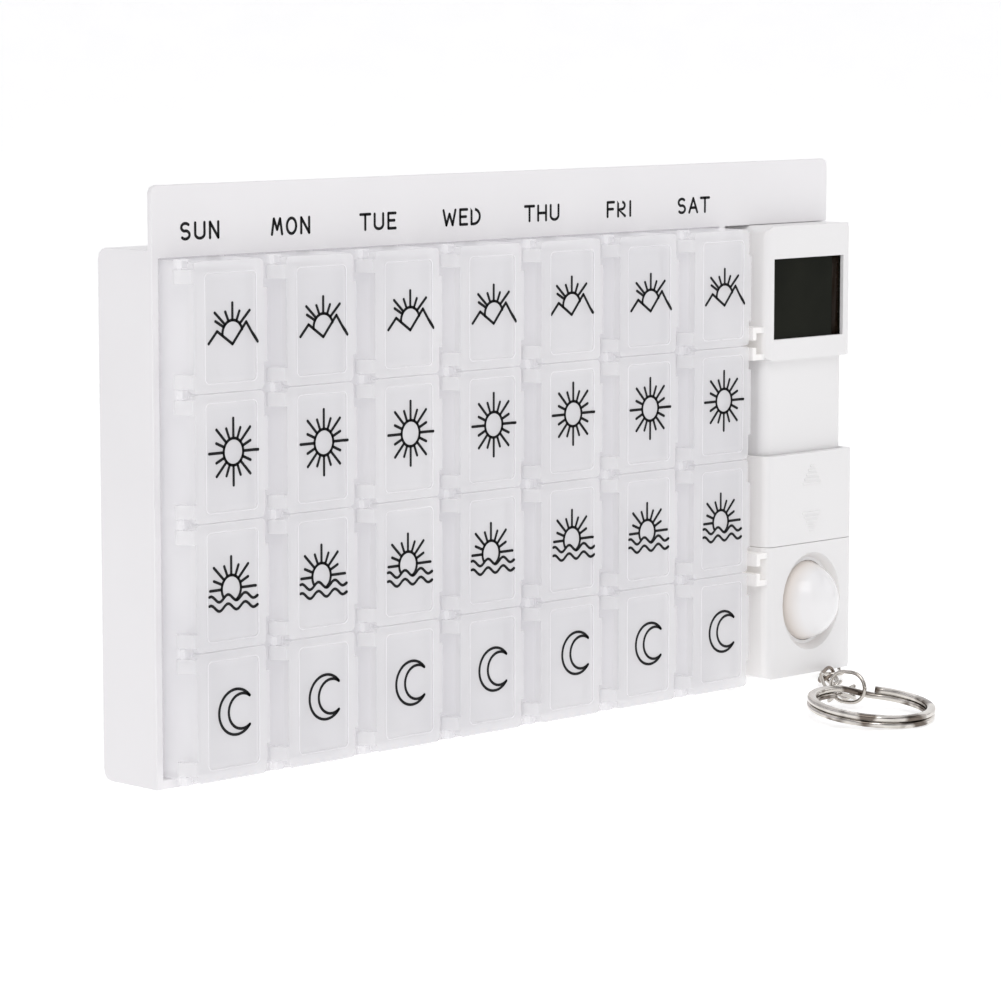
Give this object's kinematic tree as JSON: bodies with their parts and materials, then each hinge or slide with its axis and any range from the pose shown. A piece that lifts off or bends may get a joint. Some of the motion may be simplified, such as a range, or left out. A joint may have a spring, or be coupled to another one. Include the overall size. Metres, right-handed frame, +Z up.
{
  "type": "electronic pill box",
  "caption": "Weekly pill organiser: a wide tray of translucent day boxes with hinged lids, a clip-on reminder unit with display, sliding cover and alarm button, and a key ring on a chain.",
  "frame": {"origin": "centre of the tray's flat underside", "axes": "+X runs along the week from Sunday to the reminder unit, -Y is the front that the lids face, +Z is up towards the header strip"},
  "size_m": [0.1948, 0.0753, 0.1137],
  "materials": {
    "tray_white": "fine satin moulded ABS",
    "frosted_box": "frosted translucent polypropylene",
    "frosted_lid": "frosted translucent polypropylene, printed black pictogram",
    "unit_white": "satin moulded ABS, slightly warm white",
    "lens": "dark tinted polished acrylic",
    "panel": "unlit liquid crystal cell",
    "board": "green solder mask",
    "black_plastic": "moulded",
    "steel": "plain",
    "brass": "stamped sheet",
    "gloss_white": "polished",
    "button_grey": "moulded silicone",
    "nickel": "bright nickel plate"
  },
  "bodies": {
    "tray": {"tray": "tray_white"},
    "box_sunday": {"day_box_sunday": "frosted_box"},
    "lid_sunday_morning": {"lid_sunday_morning": "frosted_lid"},
    "lid_sunday_noon": {"lid_sunday_noon": "frosted_lid"},
    "lid_sunday_evening": {"lid_sunday_evening": "frosted_lid"},
    "lid_sunday_bedtime": {"lid_sunday_bedtime": "frosted_lid"},
    "box_monday": {"day_box_monday": "frosted_box"},
    "lid_monday_morning": {"lid_monday_morning": "frosted_lid"},
    "lid_monday_noon": {"lid_monday_noon": "frosted_lid"},
    "lid_monday_evening": {"lid_monday_evening": "frosted_lid"},
    "lid_monday_bedtime": {"lid_monday_bedtime": "frosted_lid"},
    "box_tuesday": {"day_box_tuesday": "frosted_box"},
    "lid_tuesday_morning": {"lid_tuesday_morning": "frosted_lid"},
    "lid_tuesday_noon": {"lid_tuesday_noon": "frosted_lid"},
    "lid_tuesday_evening": {"lid_tuesday_evening": "frosted_lid"},
    "lid_tuesday_bedtime": {"lid_tuesday_bedtime": "frosted_lid"},
    "box_wednesday": {"day_box_wednesday": "frosted_box"},
    "lid_wednesday_morning": {"lid_wednesday_morning": "frosted_lid"},
    "lid_wednesday_noon": {"lid_wednesday_noon": "frosted_lid"},
    "lid_wednesday_evening": {"lid_wednesday_evening": "frosted_lid"},
    "lid_wednesday_bedtime": {"lid_wednesday_bedtime": "frosted_lid"},
    "box_thursday": {"day_box_thursday": "frosted_box"},
    "lid_thursday_morning": {"lid_thursday_morning": "frosted_lid"},
    "lid_thursday_noon": {"lid_thursday_noon": "frosted_lid"},
    "lid_thursday_evening": {"lid_thursday_evening": "frosted_lid"},
    "lid_thursday_bedtime": {"lid_thursday_bedtime": "frosted_lid"},
    "box_friday": {"day_box_friday": "frosted_box"},
    "lid_friday_morning": {"lid_friday_morning": "frosted_lid"},
    "lid_friday_noon": {"lid_friday_noon": "frosted_lid"},
    "lid_friday_evening": {"lid_friday_evening": "frosted_lid"},
    "lid_friday_bedtime": {"lid_friday_bedtime": "frosted_lid"},
    "box_saturday": {"day_box_saturday": "frosted_box"},
    "lid_saturday_morning": {"lid_saturday_morning": "frosted_lid"},
    "lid_saturday_noon": {"lid_saturday_noon": "frosted_lid"},
    "lid_saturday_evening": {"lid_saturday_evening": "frosted_lid"},
    "lid_saturday_bedtime": {"lid_saturday_bedtime": "frosted_lid"},
    "unit": {"unit_rear_shell": "unit_white", "unit_front_shell": "unit_white", "display_lens": "lens", "display_panel": "panel", "circuit_board": "board", "alarm_switch": "black_plastic", "buzzer": "black_plastic", "coin_cell": "steel", "battery_clip": "brass", "case_screw_upper": "steel", "case_screw_lower": "steel", "chain_bail": "nickel"},
    "cover": {"sliding_cover": "unit_white"},
    "alarm_key": {"alarm_button": "gloss_white"},
    "mode_key": {"mode_button": "button_grey"},
    "hour_key": {"hour_button": "button_grey"},
    "minute_key": {"minute_button": "button_grey"},
    "door": {"battery_door": "unit_white"},
    "chain": {"chain_link_1": "nickel", "chain_link_2": "nickel", "chain_link_3": "nickel", "chain_link_4": "nickel"},
    "jump_ring": {"jump_ring": "nickel"},
    "key_ring": {"key_ring": "nickel"}
  },
  "joints": [
    {"name": "sunday_box_slide", "type": "slide", "parent": "tray", "child": "box_sunday", "axis": [0, -1, 0], "range_m": [0, 0.02]},
    {"name": "sunday_morning_lid", "type": "hinge", "parent": "box_sunday", "child": "lid_sunday_morning", "pos_m": [-0.09545, -0.01395, 0.08715], "axis": [0, 0, -1], "range_deg": [0, 95]},
    {"name": "sunday_noon_lid", "type": "hinge", "parent": "box_sunday", "child": "lid_sunday_noon", "pos_m": [-0.09545, -0.01395, 0.06295], "axis": [0, 0, -1], "range_deg": [0, 95]},
    {"name": "sunday_evening_lid", "type": "hinge", "parent": "box_sunday", "child": "lid_sunday_evening", "pos_m": [-0.09545, -0.01395, 0.03875], "axis": [0, 0, -1], "range_deg": [0, 95]},
    {"name": "sunday_bedtime_lid", "type": "hinge", "parent": "box_sunday", "child": "lid_sunday_bedtime", "pos_m": [-0.09545, -0.01395, 0.01455], "axis": [0, 0, -1], "range_deg": [0, 95]},
    {"name": "monday_box_slide", "type": "slide", "parent": "tray", "child": "box_monday", "axis": [0, -1, 0], "range_m": [0, 0.02]},
    {"name": "monday_morning_lid", "type": "hinge", "parent": "box_monday", "child": "lid_monday_morning", "pos_m": [-0.07245, -0.01395, 0.08715], "axis": [0, 0, -1], "range_deg": [0, 95]},
    {"name": "monday_noon_lid", "type": "hinge", "parent": "box_monday", "child": "lid_monday_noon", "pos_m": [-0.07245, -0.01395, 0.06295], "axis": [0, 0, -1], "range_deg": [0, 95]},
    {"name": "monday_evening_lid", "type": "hinge", "parent": "box_monday", "child": "lid_monday_evening", "pos_m": [-0.07245, -0.01395, 0.03875], "axis": [0, 0, -1], "range_deg": [0, 95]},
    {"name": "monday_bedtime_lid", "type": "hinge", "parent": "box_monday", "child": "lid_monday_bedtime", "pos_m": [-0.07245, -0.01395, 0.01455], "axis": [0, 0, -1], "range_deg": [0, 95]},
    {"name": "tuesday_box_slide", "type": "slide", "parent": "tray", "child": "box_tuesday", "axis": [0, -1, 0], "range_m": [0, 0.02]},
    {"name": "tuesday_morning_lid", "type": "hinge", "parent": "box_tuesday", "child": "lid_tuesday_morning", "pos_m": [-0.04945, -0.01395, 0.08715], "axis": [0, 0, -1], "range_deg": [0, 95]},
    {"name": "tuesday_noon_lid", "type": "hinge", "parent": "box_tuesday", "child": "lid_tuesday_noon", "pos_m": [-0.04945, -0.01395, 0.06295], "axis": [0, 0, -1], "range_deg": [0, 95]},
    {"name": "tuesday_evening_lid", "type": "hinge", "parent": "box_tuesday", "child": "lid_tuesday_evening", "pos_m": [-0.04945, -0.01395, 0.03875], "axis": [0, 0, -1], "range_deg": [0, 95]},
    {"name": "tuesday_bedtime_lid", "type": "hinge", "parent": "box_tuesday", "child": "lid_tuesday_bedtime", "pos_m": [-0.04945, -0.01395, 0.01455], "axis": [0, 0, -1], "range_deg": [0, 95]},
    {"name": "wednesday_box_slide", "type": "slide", "parent": "tray", "child": "box_wednesday", "axis": [0, -1, 0], "range_m": [0, 0.02]},
    {"name": "wednesday_morning_lid", "type": "hinge", "parent": "box_wednesday", "child": "lid_wednesday_morning", "pos_m": [-0.02645, -0.01395, 0.08715], "axis": [0, 0, -1], "range_deg": [0, 95]},
    {"name": "wednesday_noon_lid", "type": "hinge", "parent": "box_wednesday", "child": "lid_wednesday_noon", "pos_m": [-0.02645, -0.01395, 0.06295], "axis": [0, 0, -1], "range_deg": [0, 95]},
    {"name": "wednesday_evening_lid", "type": "hinge", "parent": "box_wednesday", "child": "lid_wednesday_evening", "pos_m": [-0.02645, -0.01395, 0.03875], "axis": [0, 0, -1], "range_deg": [0, 95]},
    {"name": "wednesday_bedtime_lid", "type": "hinge", "parent": "box_wednesday", "child": "lid_wednesday_bedtime", "pos_m": [-0.02645, -0.01395, 0.01455], "axis": [0, 0, -1], "range_deg": [0, 95]},
    {"name": "thursday_box_slide", "type": "slide", "parent": "tray", "child": "box_thursday", "axis": [0, -1, 0], "range_m": [0, 0.02]},
    {"name": "thursday_morning_lid", "type": "hinge", "parent": "box_thursday", "child": "lid_thursday_morning", "pos_m": [-0.00345, -0.01395, 0.08715], "axis": [0, 0, -1], "range_deg": [0, 95]},
    {"name": "thursday_noon_lid", "type": "hinge", "parent": "box_thursday", "child": "lid_thursday_noon", "pos_m": [-0.00345, -0.01395, 0.06295], "axis": [0, 0, -1], "range_deg": [0, 95]},
    {"name": "thursday_evening_lid", "type": "hinge", "parent": "box_thursday", "child": "lid_thursday_evening", "pos_m": [-0.00345, -0.01395, 0.03875], "axis": [0, 0, -1], "range_deg": [0, 95]},
    {"name": "thursday_bedtime_lid", "type": "hinge", "parent": "box_thursday", "child": "lid_thursday_bedtime", "pos_m": [-0.00345, -0.01395, 0.01455], "axis": [0, 0, -1], "range_deg": [0, 95]},
    {"name": "friday_box_slide", "type": "slide", "parent": "tray", "child": "box_friday", "axis": [0, -1, 0], "range_m": [0, 0.02]},
    {"name": "friday_morning_lid", "type": "hinge", "parent": "box_friday", "child": "lid_friday_morning", "pos_m": [0.01955, -0.01395, 0.08715], "axis": [0, 0, -1], "range_deg": [0, 95]},
    {"name": "friday_noon_lid", "type": "hinge", "parent": "box_friday", "child": "lid_friday_noon", "pos_m": [0.01955, -0.01395, 0.06295], "axis": [0, 0, -1], "range_deg": [0, 95]},
    {"name": "friday_evening_lid", "type": "hinge", "parent": "box_friday", "child": "lid_friday_evening", "pos_m": [0.01955, -0.01395, 0.03875], "axis": [0, 0, -1], "range_deg": [0, 95]},
    {"name": "friday_bedtime_lid", "type": "hinge", "parent": "box_friday", "child": "lid_friday_bedtime", "pos_m": [0.01955, -0.01395, 0.01455], "axis": [0, 0, -1], "range_deg": [0, 95]},
    {"name": "saturday_box_slide", "type": "slide", "parent": "tray", "child": "box_saturday", "axis": [0, -1, 0], "range_m": [0, 0.02]},
    {"name": "saturday_morning_lid", "type": "hinge", "parent": "box_saturday", "child": "lid_saturday_morning", "pos_m": [0.04255, -0.01395, 0.08715], "axis": [0, 0, -1], "range_deg": [0, 95]},
    {"name": "saturday_noon_lid", "type": "hinge", "parent": "box_saturday", "child": "lid_saturday_noon", "pos_m": [0.04255, -0.01395, 0.06295], "axis": [0, 0, -1], "range_deg": [0, 95]},
    {"name": "saturday_evening_lid", "type": "hinge", "parent": "box_saturday", "child": "lid_saturday_evening", "pos_m": [0.04255, -0.01395, 0.03875], "axis": [0, 0, -1], "range_deg": [0, 95]},
    {"name": "saturday_bedtime_lid", "type": "hinge", "parent": "box_saturday", "child": "lid_saturday_bedtime", "pos_m": [0.04255, -0.01395, 0.01455], "axis": [0, 0, -1], "range_deg": [0, 95]},
    {"name": "unit_slide", "type": "slide", "parent": "tray", "child": "unit", "axis": [0, -1, 0], "range_m": [0, 0.022]},
    {"name": "cover_slide", "type": "slide", "parent": "unit", "child": "cover", "axis": [0, 0, 1], "range_m": [0, 0.0199]},
    {"name": "alarm_button_press", "type": "slide", "parent": "unit", "child": "alarm_key", "axis": [0, 1, 0], "range_m": [0, 0.0008], "stiffness_N_per_m": 400, "springref_m": -0.002},
    {"name": "mode_button_press", "type": "slide", "parent": "unit", "child": "mode_key", "axis": [0, 1, 0], "range_m": [0, 0.0004], "stiffness_N_per_m": 800, "springref_m": -0.0008},
    {"name": "hour_button_press", "type": "slide", "parent": "unit", "child": "hour_key", "axis": [0, 1, 0], "range_m": [0, 0.0004], "stiffness_N_per_m": 800, "springref_m": -0.0008},
    {"name": "minute_button_press", "type": "slide", "parent": "unit", "child": "minute_key", "axis": [0, 1, 0], "range_m": [0, 0.0004], "stiffness_N_per_m": 800, "springref_m": -0.0008},
    {"name": "battery_door_turn", "type": "hinge", "parent": "unit", "child": "door", "pos_m": [0.0837, 0.0041, 0.05075], "axis": [0, -1, 0], "range_deg": [0, 45]},
    {"name": "chain_swing", "type": "hinge", "parent": "unit", "child": "chain", "pos_m": [0.08859, -0.0179, 0.0015], "axis": [-0.712, 0.7021, 0], "range_deg": [0, 25]},
    {"name": "jump_ring_swing", "type": "hinge", "parent": "chain", "child": "jump_ring", "pos_m": [0.06126, -0.0405, 0.0023], "axis": [-0.2173, 0.7107, -0.6691], "range_deg": [-4, 4]},
    {"name": "key_ring_swing", "type": "hinge", "parent": "jump_ring", "child": "key_ring", "pos_m": [0.063, -0.04336, 0.00391], "axis": [-0.8829, 0.4666, 0.0515], "range_deg": [0, 12]}
  ]
}
